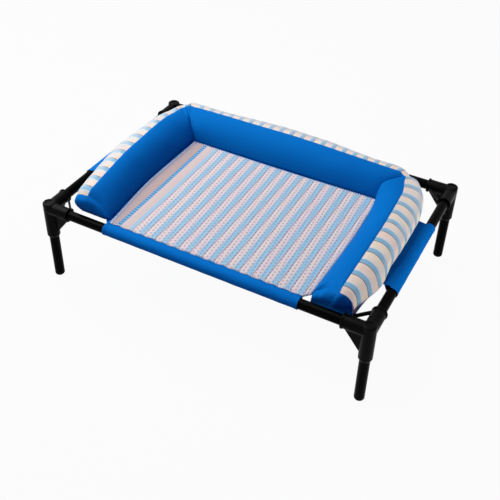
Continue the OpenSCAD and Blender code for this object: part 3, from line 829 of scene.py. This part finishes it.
class BolsterHalf:
    """Plan and section of one half of the bolster. Places s along the crown run from 0 at the front tip
    over 1 at the start of the corner and 2 at the mitre seam to 3 at the middle of the back."""

    KEYS = (0.0, 0.5, 0.8, 1.0, 2.0, 2.5, 3.0)
    MITRE = 2.0
    BACK_START = 2.5
    STEPS = 3001
    PICKED = ("foot_x", "tip_y", "tip_fall", "crown_turn", "foot_turn", "corner_round", "droop", "tip_tuck",
              "belly", "set_back")
    # Lengths over which the rows spread round the corner and the local forms fade out.
    ZONE = 0.04
    SEAM_FLAT = 0.016
    SEAM_FULL = 0.08
    BACK_EASE = 0.05
    HANG_RUN = 0.06
    HANG_LEAD = 0.009
    HANG_EASE = 0.015
    TUCK_RUN = 0.085
    SET_BACK_RUN = 0.055

    def __init__(self, sizes, right):
        name = "right" if right else "left"
        self.side = 1 if right else -1
        self.sizes = sizes
        self.heights = getattr(sizes, name + "_height")
        self.crowns = getattr(sizes, name + "_crown")
        self.widths = getattr(sizes, name + "_width")
        for key in self.PICKED:
            setattr(self, key, getattr(sizes, key)[right])
        self.toes = (sizes.toe_in[right], -sizes.toe_out[right], 0.0)
        self.table = np.linspace(0, 3, self.STEPS)
        self.table_x, self.table_y = self.plan(self.table)
        self.run = np.cumsum(np.r_[0, np.hypot(np.diff(self.table_x), np.diff(self.table_y))])
        self.mitre_run = float(np.interp(self.MITRE, self.table, self.run))

    def keyed(self, values, s):
        return smooth_curve(self.KEYS, values, s)

    def toe(self, s):
        """How far the arm leans in at a place along it."""
        return np.where(s < 1, smooth_curve((0.0, 0.5, 1.0), self.toes, np.minimum(s, 1)), 0.0)

    def turn(self, c):
        """Corner radius of each column: none at the inner foot, most at the outer foot."""
        inner = self.crown_turn * np.clip(c / CROWN, 0, 1) ** 1.5
        outer = (self.foot_turn - self.crown_turn) * np.clip((c - CROWN) / (1 - CROWN), 0, 1) ** 0.7
        return inner + outer

    def plan(self, s):
        """Place of the crown, drawn on the right side."""
        d, r = self.keyed(self.crowns, s), self.crown_turn
        run_y, run_x = self.sizes.foot_y + d - r, self.foot_x + d - r
        a = np.radians(np.clip(np.where(s <= self.MITRE, (s - 1) * 45, 45 + (s - self.MITRE) * 90), 0, 90))
        arm, corner = s <= 1, s <= self.BACK_START
        x = np.where(corner, run_x + r * np.cos(a), run_x * (3 - s) / (3 - self.BACK_START))
        y = np.where(corner, run_y + r * np.sin(a), self.sizes.foot_y + d)
        x = np.where(arm, self.foot_x + d - self.toe(s), x)
        return x, np.where(arm, self.tip_y + (run_y - self.tip_y) * s, y)

    def rows(self):
        """Places s along the crown, evenly spaced, and the row at the mitre."""
        step, mitre, end = self.sizes.row, self.mitre_run, self.run[-1]
        arm = np.linspace(0, mitre, int(round(mitre / step)) + 1)
        back = np.linspace(mitre, end, int(round((end - mitre) / step)) + 1)
        return np.interp(np.r_[arm, back[1:]], self.run, self.table), len(arm) - 1

    def spread(self, d, c, s):
        """Place of a point in row s and column c, a distance d out, with rows spread round the corner."""
        r = self.turn(c)
        foot_x, foot_y = self.foot_x, self.sizes.foot_y
        start_x, start_y = foot_x - self.ZONE, foot_y - self.ZONE
        run_x, run_y = foot_x + d - r, foot_y + d - r
        here, mitre = np.interp(s, self.table, self.run), self.mitre_run
        on_arm = self.table <= self.MITRE
        arm_zone = np.interp(start_y, self.table_y[on_arm], self.run[on_arm])
        back_zone = self.run[-1] - start_x
        went = (here - arm_zone) / (mitre - arm_zone)
        left = (back_zone - here) / (back_zone - mitre)
        arm_y, arm_x = round_corner(went, start_y, run_y, foot_x + d, run_x, r)
        back_x, back_y = round_corner(left, start_x, run_x, foot_y + d, run_y, r)
        arm_x = np.where(went < 0, foot_x + d, arm_x) - self.toe(s)
        arm_y = np.where(went < 0, np.interp(s, self.table, self.table_y), arm_y)
        back_x = np.where(left < 0, np.interp(s, self.table, self.table_x), back_x)
        back_y = np.where(left < 0, foot_y + d, back_y)
        arm = here <= mitre
        return np.where(arm, arm_x, back_x), np.where(arm, arm_y, back_y)

    def fullness(self, s):
        """Inner roundness of each row: fuller on the arm beside the mitre seam, and along the back."""
        off = self.mitre_run - np.interp(s, self.table, self.run)
        beside = self.corner_round * smooth_step(off / self.SEAM_FLAT) * bell(off / self.SEAM_FULL)
        return self.sizes.inner_round + self.sizes.back_round * smooth_step(-off / self.BACK_EASE) + beside

    def hang(self, x, y):
        """How far the cloth hangs where the sling is cut away under it."""
        outside = np.where(y < 0, x - sling_reach(y, self.side), -1.0)
        near_tip = 1 - smooth_step((y - self.tip_y) / self.HANG_RUN)
        return self.droop * smooth_step((outside + self.HANG_LEAD) / self.HANG_EASE) * near_tip

    def tuck(self, run):
        """How far the outer foot is drawn in, more toward the tip."""
        near_tip = np.clip(1 - run / self.TUCK_RUN, 0, 1) ** 1.5
        swelling = np.sin(np.clip(run / self.sizes.belly_run, 0, 1) * math.pi) ** 2
        return self.sizes.tuck + (self.tip_tuck - self.sizes.tuck) * near_tip - self.belly * swelling

    def seam_back(self, run, c):
        """How far rows near the tip lie back on the inner slope."""
        near_tip = np.clip(1 - run / self.SET_BACK_RUN, 0, 1) ** 2
        return self.set_back * near_tip * np.sin(np.clip(c / CROWN, 0, 1) * math.pi) ** 0.8

    def grids(self):
        """Points of the top, from inner to outer foot, and of the base, for every row."""
        s, mitre = self.rows()
        columns = self.sizes.columns
        c = np.r_[np.linspace(0, CROWN, columns + 1), np.linspace(CROWN, 1, columns + 1)[1:]]
        rows, c = np.meshgrid(s, c, indexing="ij")
        h, crown, width = (self.keyed(v, rows) for v in (self.heights, self.crowns, self.widths))
        run = np.interp(rows, self.table, self.run)
        tuck = self.tuck(run)
        h = h - self.tip_fall * np.clip(1 - run / self.sizes.tip_round, 0, 1) ** 2
        inner = c <= CROWN
        quarter = np.where(inner, c / CROWN, (1 - c) / (1 - CROWN)) * math.pi / 2
        power = np.where(inner, 2 / self.fullness(rows), 2 / self.sizes.outer_round)
        lean = np.maximum(np.cos(quarter), 0) ** power
        rise = np.maximum(np.sin(quarter), 0) ** power
        d = np.where(inner, crown * (1 - lean), crown + (width - crown) * lean - tuck * (1 - rise) ** 2)
        x, y = self.spread(d, c, rows)
        y = y + self.seam_back(run, c)
        top = np.stack([self.side * x, y, BODY_Z - self.hang(x, y) * (1 - rise) + h * rise], -1)
        c = np.repeat(np.linspace(0, 1, 2 * columns + 1)[None], len(s), 0)
        x, y = self.spread((width - tuck) * c, c, rows)
        base = np.stack([self.side * x, y, BODY_Z - self.hang(x, y)], -1)
        base[:, 0], base[:, -1] = top[:, 0], top[:, -1]
        return top, base, mitre


def joined(left, right):
    """Both halves of the bolster as one grid from the left to the right tip, with one middle row."""
    return np.concatenate([left[:-1], (left[-1:] + right[-1:]) / 2, right[:-1][::-1]])


def end_grid(top, base, sizes, side, rows=14):
    """End panel between the front edges of the top and the base, for the left (0) or right (1) arm.
    It is fuller on its outer side where the lean is more than 0, and has puckers under its seam."""
    high_power, bulge_power, pucker_turns, pucker_start, pucker_run = 2.3, 0.55, 23, 0.1, 0.25
    v = np.linspace(0, 1, rows + 1)[:, None]
    c = np.linspace(-1, 1, top.shape[0])[None]
    points = base[None] * (1 - v[..., None]) + top[None] * v[..., None]
    high = v**high_power
    full = (1 - np.abs(c) ** 3) * (sizes.end_full[side] + sizes.end_lean[side] * c)
    bulge = np.clip(4 * high * (1 - high), 0, 1) ** bulge_power * full
    under = np.clip((1 - v) / pucker_start, 0, 1) * bell((1 - v) / pucker_run)
    pucker = np.sin(c * pucker_turns) * (1 - c * c) * under
    points[..., 1] -= sizes.nose * bulge + sizes.end_pucker * pucker
    return points


CLOTH_SETTINGS = {
    "quality": 5,
    "mass": 0.25,
    "tension_stiffness": 12,
    "compression_stiffness": 12,
    "shear_stiffness": 4,
    "bending_stiffness": 0.4,
    "use_pressure": True,
    "uniform_pressure_force": 4.0,
    "vertex_group_mass": "hold",
}
CLOTH_FRAMES = 20
HOLD_HEIGHT = 0.002


def stuff(grids, sizes):
    """Blows the closed bolster up a little with a cloth simulation and gives its grids back."""
    points = np.concatenate([grid.reshape(-1, 3) for grid, flip in grids])
    counts = [grid.shape[0] * grid.shape[1] for grid, flip in grids]
    starts = np.r_[0, np.cumsum(counts)]
    faces = [grid_faces(*grid.shape[:2], flip) + start for (grid, flip), start in zip(grids, starts)]
    kept, polygons, where = merged(points, np.concatenate(faces))
    mesh = bpy.data.meshes.new("bolster_form")
    mesh.from_pydata(kept.tolist(), [], polygons)
    form = add_object("bolster_form", mesh)
    hold = form.vertex_groups.new(name="hold")
    for i in np.nonzero(kept[:, 2] < BODY_Z + HOLD_HEIGHT)[0]:
        hold.add([int(i)], 1.0, "REPLACE")
    cloth = form.modifiers.new("Cloth", "CLOTH")
    for key, value in CLOTH_SETTINGS.items():
        setattr(cloth.settings, key, value)
    cloth.settings.effector_weights.gravity = 0.0
    cloth.collision_settings.use_collision = False
    scene = bpy.context.scene
    for step in range(1, CLOTH_FRAMES + 1):
        scene.frame_set(step)
    shaped = form.evaluated_get(bpy.context.evaluated_depsgraph_get()).to_mesh()
    swollen = np.zeros(len(kept) * 3)
    shaped.vertices.foreach_get("co", swollen)
    moved = swollen.reshape(-1, 3) - kept
    scene.frame_set(1)
    bpy.data.objects.remove(form)
    far = np.linalg.norm(moved, axis=1)
    moved *= (np.minimum(far, sizes.swell) / np.maximum(far, 1e-9))[:, None]
    parts = np.split((kept + moved)[where], starts[1:-1])
    return [part.reshape(grid.shape) for part, (grid, flip) in zip(parts, grids)]


def outward_normals(points):
    """Unit normals of a grid of points."""
    return unit(np.cross(np.gradient(points, axis=0), np.gradient(points, axis=1)))


def with_seams(grid, fields, width):
    """Adds a column beside each edge column, width away, so that a seam can be drawn in there."""
    run = arc_along(grid, 1).mean(0)
    spots = np.sort(np.r_[run, width, run[-1] - width])

    def spread(field):
        return np.stack([np.interp(spots, run, row) for row in field])

    made = np.stack([spread(grid[..., axis]) for axis in range(3)], -1)
    return made, [spread(field) for field in fields]


class COT_OT_stage(bpy.types.Operator):
    """Set up the floor, the soft light and the camera"""
    bl_idname = "cot.stage"
    bl_label = "Stage"

    def execute(self, context):
        settings = context.scene.cot_stage
        scene = context.scene
        scene.view_settings.view_transform = "Standard"
        self.camera(scene, settings)
        self.floor(settings)
        self.sky(scene, settings)
        self.lamp("key_light", settings.key_place, settings.key_size, DECK_Z, settings.key)
        fill_z = settings.fill_place[2]
        fill = self.lamp("fill_light", settings.fill_place, settings.fill_size, fill_z, settings.fill)
        fill.visible_glossy = False
        return {"FINISHED"}

    def camera(self, scene, settings):
        a, e, roll = settings.azimuth, settings.elevation, settings.roll
        back = Vector((math.sin(a) * math.cos(e), -math.cos(a) * math.cos(e), math.sin(e)))
        right = (-back).cross(Vector((0, 0, 1))).normalized()
        up = right.cross(-back)
        across = right * math.cos(roll) + up * math.sin(roll)
        upward = up * math.cos(roll) - right * math.sin(roll)
        data = bpy.data.cameras.new("view")
        data.lens = settings.lens
        data.sensor_width = 36.0
        data.shift_y = settings.shift
        data.clip_start = 0.05
        view = add_object("view", data)
        place = Matrix((across, upward, back)).transposed().to_4x4()
        place.translation = Vector(settings.target) + back * settings.distance
        view.matrix_world = place
        scene.camera = view

    def floor(self, settings):
        half = settings.floor_half
        corners = [(-half, -half, 0), (half, -half, 0), (half, half, 0), (-half, half, 0)]
        mesh = bpy.data.meshes.new("floor")
        mesh.from_pydata(corners, [], [(0, 1, 2, 3)])
        shader = Shader("pale_floor")
        shader.set(Base_Color=settings.floor, Roughness=0.9, Specular_IOR_Level=0.0)
        glow = shader.node("ShaderNodeEmission", {"Color": WHITE, "Strength": 1.0})
        white = shader.times(shader.seen(), settings.floor_glow)
        self.blend(shader, "Material Output", white, shader.surface, glow)
        mesh.materials.append(shader.material)
        add_object("floor", mesh)

    def sky(self, scene, settings):
        world = bpy.data.worlds.new("soft_sky")
        world.use_nodes = True
        scene.world = world
        nodes = Nodes(world.node_tree)
        ambient = nodes.tree.nodes["Background"]
        nodes.feed(ambient.inputs["Color"], settings.sky)
        nodes.feed(ambient.inputs["Strength"], 1.0)
        white = nodes.node("ShaderNodeBackground", {"Color": WHITE, "Strength": 1.0})
        self.blend(nodes, "World Output", nodes.seen(), ambient, white)

    def blend(self, nodes, output, factor, first, second):
        """Mixes two surfaces into a tree's output."""
        both = nodes.node("ShaderNodeMixShader", {0: factor, 1: first.outputs[0], 2: second.outputs[0]})
        nodes.feed(nodes.tree.nodes[output].inputs["Surface"], both.outputs[0])

    def lamp(self, name, place, size, aim_z, power):
        data = bpy.data.lights.new(name, "AREA")
        data.shape = "RECTANGLE"
        data.size, data.size_y = size
        data.energy = power
        lamp = add_object(name, data)
        lamp.location = place
        lamp.rotation_mode = "QUATERNION"
        lamp.rotation_quaternion = (Vector(place) - Vector((0, 0, aim_z))).to_track_quat("Z", "Y")
        return lamp


class COT_OT_frame(bpy.types.Operator):
    """Give the tubes, corner fittings and foot caps their finishes"""
    bl_idname = "cot.frame"
    bl_label = "Frame finishes"

    def execute(self, context):
        colours = context.scene.cot_colours
        tube = coated_tube_finish(colours)
        fitting = moulded_finish("moulded_fitting", colours.fitting_black, 0.28, 0.36)
        foot = moulded_finish("foot_cap", colours.foot_black, 0.5, 0.62)
        finishes = {name: tube for name in RAILS}
        for corner in CORNERS:
            finishes["leg_" + corner] = tube
            finishes["corner_" + corner] = fitting
            finishes["foot_" + corner] = foot
        for name, finish in finishes.items():
            mesh = frame["nodes"][name].data
            mesh.materials.clear()
            mesh.materials.append(finish)
        return {"FINISHED"}


class COT_OT_sling(bpy.types.Operator):
    """Build the sling and the four sleeves round the rails"""
    bl_idname = "cot.sling"
    bl_label = "Sling and sleeves"

    def execute(self, context):
        sizes, colours = context.scene.cot_sling, context.scene.cot_colours
        sheet = build_sling(sizes, blue_cloth_finish(colours, "blue_sling", False))
        declare(sheet, "blue_cloth", "sling")
        finish = blue_cloth_finish(colours, "blue_sleeve", True)
        for seed, (name, ends, rail, outward) in enumerate(SLEEVES):
            build_sleeve(name, ends, rail, outward, sizes, finish, seed)
        return {"FINISHED"}


def mat_reach(half, y):
    """Distance from the middle of the cot to the bolster's inner foot."""
    s = np.clip((y - half.tip_y) / (half.sizes.foot_y - half.tip_y), 0, 1)
    return half.foot_x - half.toe(s)


def mat_grid(context):
    """Points of the mat's top, from front to back and left to right, how far each is from the left edge,
    and the mat's widest and deepest size."""
    corner_count, row_count, column_count = 9, 104, 181
    scallop_run, waves, seed = 0.006, (0.11, 0.07, 0.16, 0.05), 7
    sizes, bolster = context.scene.cot_mat, context.scene.cot_bolster
    front, back = -RAIL_Y + sizes.front_gap, bolster.foot_y - sizes.clear[1]
    corner = max(sizes.corner_cut)
    behind = np.linspace(front + corner, back, row_count)[1:]
    rows = np.r_[np.linspace(front, front + corner, corner_count), behind]
    place = np.linspace(0, 1, column_count)
    left, right = (mat_reach(BolsterHalf(bolster, right), rows) - sizes.clear[2 * right]
                   - np.clip(sizes.corner_cut[right] - (rows - front), 0, None) for right in (0, 1))
    x = -left[:, None] + (left + right)[:, None] * place[None]
    y = np.repeat(rows[:, None], len(place), 1)
    phase = (x - sizes.first_line) / sizes.repeat * 2 * math.pi
    y = y - sizes.scallop * np.sin(phase) * np.exp(-(y - front) / scallop_run)
    from_left = x + left[:, None]
    to_edge = np.minimum(np.minimum(from_left, right[:, None] - x), np.minimum(y - front, back - y))
    pressed = 1 - smooth_step(to_edge / sizes.edge_width)
    raised = sizes.rib * np.sin(phase) + sizes.unevenness * soft_waves(x, y, waves, seed)
    z = MAT_TOP - sizes.lay + raised * (1 - pressed) - sizes.edge_roll * pressed
    z = z - (DECK_Z - sling_height(x, y, context.scene.cot_sling))
    return np.stack([x, y, z], -1), from_left, (float(np.max(left + right)), float(back - front))


def mat_edge(context, inset, lift):
    """Path round the mat, a little inside its edge and on its top."""
    sizes = context.scene.cot_mat
    points = mat_grid(context)[0]
    ring = np.concatenate([points[0, :-1], points[:-1, -1], points[-1, :0:-1], points[::-1, 0]])
    inward = points.reshape(-1, 3).mean(0) - ring
    inward[:, 2] = 0
    ring = ring + unit(inward) * inset
    from_left = ring[:, 0] - np.interp(ring[:, 1], points[:, 0, 1], points[:, 0, 0])
    from_right = np.interp(ring[:, 1], points[:, -1, 1], points[:, -1, 0]) - ring[:, 0]
    from_ends = np.minimum(ring[:, 1] - points[0, :, 1].max(), points[-1, :, 1].min() - ring[:, 1])
    to_edge = np.minimum(np.minimum(from_left, from_right), from_ends)
    ring[:, 2] += lift + sizes.edge_roll * smooth_step(to_edge / sizes.edge_width)
    return ring


class COT_OT_mat(bpy.types.Operator):
    """Build the striped mesh mat between the bolster's inner feet"""
    bl_idname = "cot.mat"
    bl_label = "Mat"

    def execute(self, context):
        sizes = context.scene.cot_mat
        points, from_left, flat = mat_grid(context)
        finish = mesh_mat_finish(context.scene.cot_colours, sizes)
        piece = grid_piece("mesh_mat", points, finish, edge=from_left)
        declare(thicken(piece, sizes.thickness - sizes.edge_roll / 2, 0), "mat_mesh", "sleeping_mat")
        return {"FINISHED"}


class COT_OT_bolster(bpy.types.Operator):
    """Build the stuffed bolster: inner, outer and end panels and the base"""
    bl_idname = "cot.bolster"
    bl_label = "Bolster"

    def execute(self, context):
        sizes, colours = context.scene.cot_bolster, context.scene.cot_colours
        left_top, left_base, left_mitre = BolsterHalf(sizes, 0).grids()
        right_top, right_base, right_mitre = BolsterHalf(sizes, 1).grids()
        top, base = joined(left_top, right_top), joined(left_base, right_base)
        mitres = (left_mitre, len(top) - 1 - right_mitre)
        left_end = end_grid(top[0], base[0], sizes, 0)
        right_end = end_grid(top[-1], base[-1], sizes, 1)
        grids = [(top, True), (base, False), (left_end, True), (right_end, False)]
        shaped = stuff(grids, sizes)
        self.panels(shaped, mitres, sizes, colours)
        return {"FINISHED"}

    def panels(self, shaped, mitres, sizes, colours):
        top, base, left_end, right_end = shaped
        columns = sizes.columns
        top = self.draw_in(top, columns, mitres, sizes)
        blue = blue_cloth_finish(colours, "blue_panel", True)
        stripes = striped_cloth_finish(colours)
        along, across = arc_along(top, 0), arc_along(top, 1)
        number = self.stripe_number(top, mitres, columns)
        first, second = mitres
        spans = (slice(0, first + 1), slice(first, second + 1), slice(second, len(top)))
        for side, rows in zip(SIDES, spans):
            inner, outer = np.s_[rows, :columns + 1], np.s_[rows, columns:]
            self.panel(f"inner_{side}_cover", top[inner], blue, sizes, "blue_cloth",
                       (f"inner_panel_{side}", f"filling_{side}"), along=along[inner], across=across[inner])
            self.panel(f"outer_{side}_cover", top[outer], stripes, sizes, "striped_cloth",
                       (f"outer_panel_{side}",), along=along[outer], across=across[outer],
                       stripe=number[outer])
        for side, grid, flip in (("left", left_end, True), ("right", right_end, False)):
            piece = grid_piece(f"{side}_end_cover", grid, blue, flip=flip, along=arc_along(grid, 1),
                               across=arc_along(grid, 0))
            self.pad(thicken(piece, CLOTH), "blue_cloth", f"end_panel_{side}")
        piece = grid_piece("bolster_base_cover", base, blue, along=arc_along(base, 0),
                           across=arc_along(base, 1))
        self.pad(thicken(piece, CLOTH / 2, 0), "blue_cloth", "bolster_base")

    def draw_in(self, top, columns, mitres, sizes):
        """The top with its crown and mitre seams drawn in and the cloth between them slightly uneven."""
        waves, seed = (0.09, 0.06, 0.14, 0.045), 3
        c = np.linspace(0, 1, top.shape[1])
        push = sizes.unevenness * soft_waves(arc_along(top, 0), arc_along(top, 1), waves, seed)
        push *= np.abs(np.sin(c * 2 * math.pi)) ** 0.5
        push[:, columns] -= sizes.seam_depth
        for row in mitres:
            push[row, :columns] -= sizes.crease * np.sin(c[:columns] / CROWN * math.pi) ** 0.6
        return top + outward_normals(top) * push[..., None]

    def panel(self, name, grid, finish, sizes, slot, nodes, **fields):
        made, spread = with_seams(grid, fields.values(), sizes.seam_width)
        piece = grid_piece(name, made, finish, flip=True, **dict(zip(fields, spread)))
        self.pad(thicken(piece, CLOTH), slot, *nodes)

    def pad(self, piece, slot, *nodes):
        declare(piece, slot, *nodes)

    def stripe_number(self, top, mitres, columns):
        """Counts the stripe repeats along the crown, from the right tip round to the left tip."""
        crown = top[:, columns]
        first, second = mitres
        run = np.r_[0, np.cumsum(np.linalg.norm(np.diff(crown[:, :2], axis=0), axis=1))]
        left, back, right = slice(0, first), slice(first, second), slice(second, None)
        spots = [run[0] - 1.0]
        spots += [np.interp(y, crown[left, 1], run[left]) for y in STRIPE_MARKS["left"]]
        spots += [np.interp(x, crown[back, 0], run[back]) for x in STRIPE_MARKS["back"]]
        spots += [np.interp(-y, -crown[right, 1], run[right]) for y in STRIPE_MARKS["right"]]
        spots += [run[-1] + 1.0]
        counts = [STRIPE_COUNTS[0] + STRIPES_PER_METRE, *STRIPE_COUNTS, -STRIPES_PER_METRE]
        count = np.interp(run, spots, counts) + STRIPE_OFFSET
        return np.repeat(count[:, None], top.shape[1], 1)


def stitch_tree():
    """Node group that lays stitches along curves."""
    tree = bpy.data.node_groups.new("stitch_row", "GeometryNodeTree")
    face = tree.interface
    face.new_socket("Geometry", in_out="INPUT", socket_type="NodeSocketGeometry")
    for name in ("Pitch", "Length", "Thread", "Slant"):
        face.new_socket(name, in_out="INPUT", socket_type="NodeSocketFloat")
    face.new_socket("Material", in_out="INPUT", socket_type="NodeSocketMaterial")
    face.new_socket("Geometry", in_out="OUTPUT", socket_type="NodeSocketGeometry")
    nodes = Nodes(tree)
    node = nodes.node
    given = node("NodeGroupInput").outputs
    row = node("GeometryNodeResampleCurve", {"Curve": given["Geometry"], "Length": given["Pitch"]},
               mode="LENGTH").outputs[0]
    half = nodes.times(given["Length"], 0.5)
    size = node("ShaderNodeCombineXYZ", {0: half, 1: given["Thread"], 2: given["Thread"]}).outputs[0]
    bead = node("GeometryNodeMeshUVSphere", {"Segments": 6, "Rings": 4, "Radius": 1.0}).outputs["Mesh"]
    stitch = node("GeometryNodeTransform", {"Geometry": bead, "Scale": size}).outputs[0]
    tangent = node("GeometryNodeInputTangent").outputs[0]
    turned = node("FunctionNodeAlignRotationToVector", {"Vector": tangent}, axis="X").outputs[0]
    odd = nodes.math("MODULO", node("GeometryNodeInputIndex").outputs[0], 2.0)
    lean = nodes.times(nodes.scaled(odd, 2.0, -1.0), given["Slant"])
    euler = node("ShaderNodeCombineXYZ", {2: lean}).outputs[0]
    turn = node("FunctionNodeEulerToRotation", {0: euler}).outputs[0]
    leaned = node("FunctionNodeRotateRotation", {0: turned, 1: turn}, rotation_space="LOCAL").outputs[0]
    laid = node("GeometryNodeInstanceOnPoints", {"Points": row, "Instance": stitch, "Rotation": leaned})
    real = node("GeometryNodeRealizeInstances", {"Geometry": laid.outputs[0]})
    dyed = node("GeometryNodeSetMaterial", {"Geometry": real.outputs[0], "Material": given["Material"]})
    node("NodeGroupOutput", {0: dyed.outputs[0]})
    return tree


def sew(name, paths, finish, slot, pitch, size, thread, slant=0.0):
    """Stitches along a list of paths, as one plain mesh piece."""
    curve = bpy.data.curves.new(name, "CURVE")
    curve.dimensions = "3D"
    for path in paths:
        line = curve.splines.new("POLY")
        line.points.add(len(path) - 1)
        line.points.foreach_set("co", np.c_[path, np.ones(len(path))].ravel())
    guide = add_object(name + "_guide", curve)
    rows = guide.modifiers.new("Stitches", "NODES")
    rows.node_group = stitch_tree()
    values = {"Pitch": pitch, "Length": size, "Thread": thread, "Slant": slant, "Material": finish}
    for socket in rows.node_group.interface.items_tree:
        if socket.in_out == "INPUT" and socket.name in values:
            rows[socket.identifier] = values[socket.name]
    mesh = bpy.data.meshes.new_from_object(guide.evaluated_get(bpy.context.evaluated_depsgraph_get()))
    mesh.name = name
    bpy.data.objects.remove(guide)
    mesh.polygons.foreach_set("use_smooth", [True] * len(mesh.polygons))
    return declare(add_object(name, mesh), slot)


class COT_OT_stitches(bpy.types.Operator):
    """Sew the hems of the sling and sleeves and the overlocked edge of the mat"""
    bl_idname = "cot.stitches"
    bl_label = "Stitches"
    # How far a stitch and an overlock loop stand out of the cloth, and how thick the loop's thread is,
    # all in thread radii.
    STAND = 0.4
    OVERLOCK_STAND = 1.2
    OVERLOCK_THREAD = 1.9

    def execute(self, context):
        sizes, colours = context.scene.cot_stitch, context.scene.cot_colours
        sling = context.scene.cot_sling
        blue = thread_finish("blue_thread", colours.blue_thread)
        pale = thread_finish("pale_thread", colours.pale_thread)
        stand = sizes.thread * self.STAND
        paths = self.hems(sling, sizes, stand) + self.cut_edges(sling, sizes, stand)
        paths += self.sleeve_ends(sling, sizes, stand)
        sew("hem_stitches", paths, blue, "blue_cloth", sizes.pitch, sizes.size, sizes.thread)
        edge = mat_edge(context, sizes.overlock_inset, sizes.thread * self.OVERLOCK_STAND)
        sew("mat_overlock", [edge], pale, "mat_mesh", sizes.overlock_pitch, sizes.overlock_size,
            sizes.thread * self.OVERLOCK_THREAD, sizes.overlock_lean)
        return {"FINISHED"}

    def hems(self, sling, sizes, stand):
        """Lines along the sleeves' hems, on the sling and under it."""
        clear, under, count = 0.003, 1.02, 80
        inset = HEM_REACH - sizes.hem_inset
        low = RAIL_Z + sleeve_section(sling)[-1, 1] - CLOTH * under
        paths = []
        for name, ends, rail, outward in SLEEVES:
            along = sleeve_along(np.linspace(ends[0] + clear, ends[1] - clear, count), inset, ends, outward)
            x, y = beside_rail(rail - inset, along, outward)
            paths.append(np.c_[x, y, sling_height(x, y, sling) + stand])
            paths.append(np.c_[x, y, np.full(len(x), low)])
        return paths

    def cut_edges(self, sling, sizes, stand):
        """Lines beside the cut corners of the sling, on top and underneath."""
        clear, count = 0.004, 50
        reach = SLING_Y - clear
        paths = []
        for side, ends in ((-1, LEFT_ENDS), (1, RIGHT_ENDS)):
            for low, high in ((-reach, ends[0]), (ends[1], reach)):
                y = np.linspace(low, high, count)
                x = side * (sling_reach(y, side) - sizes.cut_inset)
                z = sling_height(x, y, sling)
                paths.append(np.c_[x, y, z + stand])
                paths.append(np.c_[x, y, z - CLOTH - stand])
        return paths

    def sleeve_ends(self, sling, sizes, stand):
        """Loops round both ends of each sleeve."""
        section = sleeve_section(sling)
        lift = 0.0002
        ring = section + unit(section) * (stand + lift)
        paths = []
        for name, ends, rail, outward in SLEEVES:
            for place in (ends[0] + sizes.end_inset, ends[1] - sizes.end_inset):
                along = sleeve_along(place, ring[:, 0], ends, outward)
                x, y = beside_rail(rail - ring[:, 0], along, outward)
                paths.append(np.c_[x, y, RAIL_Z + ring[:, 1]])
        return paths


CLASSES = (COT_OT_stage, COT_OT_frame, COT_OT_sling, COT_OT_mat, COT_OT_bolster, COT_OT_stitches)


class COT_PT_panel(bpy.types.Panel):
    """Lists the cot's building steps and their sizes"""
    bl_idname = "COT_PT_panel"
    bl_label = "Raised dog cot"
    bl_space_type = "VIEW_3D"
    bl_region_type = "UI"
    bl_category = "Cot"

    def draw(self, context):
        for step in CLASSES:
            self.layout.operator(step.bl_idname)
        for key, group in GROUPS.items():
            box = self.layout.box()
            box.label(text=group.__doc__)
            for name in group.__annotations__:
                box.prop(getattr(context.scene, key), name)


def register():
    for group in GROUPS.values():
        bpy.utils.register_class(group)
    for key, group in GROUPS.items():
        setattr(bpy.types.Scene, key, PointerProperty(type=group))
    for step in CLASSES + (COT_PT_panel,):
        bpy.utils.register_class(step)


def unregister():
    for step in reversed(CLASSES + (COT_PT_panel,)):
        bpy.utils.unregister_class(step)
    for key in GROUPS:
        delattr(bpy.types.Scene, key)
    for group in reversed(list(GROUPS.values())):
        bpy.utils.unregister_class(group)


def main():
    register()
    for item in list(bpy.data.objects):
        if item.type in ("CAMERA", "LIGHT") or item.name == "Cube":
            bpy.data.objects.remove(item)
    bpy.ops.cot.stage()
    bpy.ops.cot.frame()
    bpy.ops.cot.sling()
    bpy.ops.cot.mat()
    bpy.ops.cot.bolster()
    bpy.ops.cot.stitches()


if __name__ == "__main__":
    main()
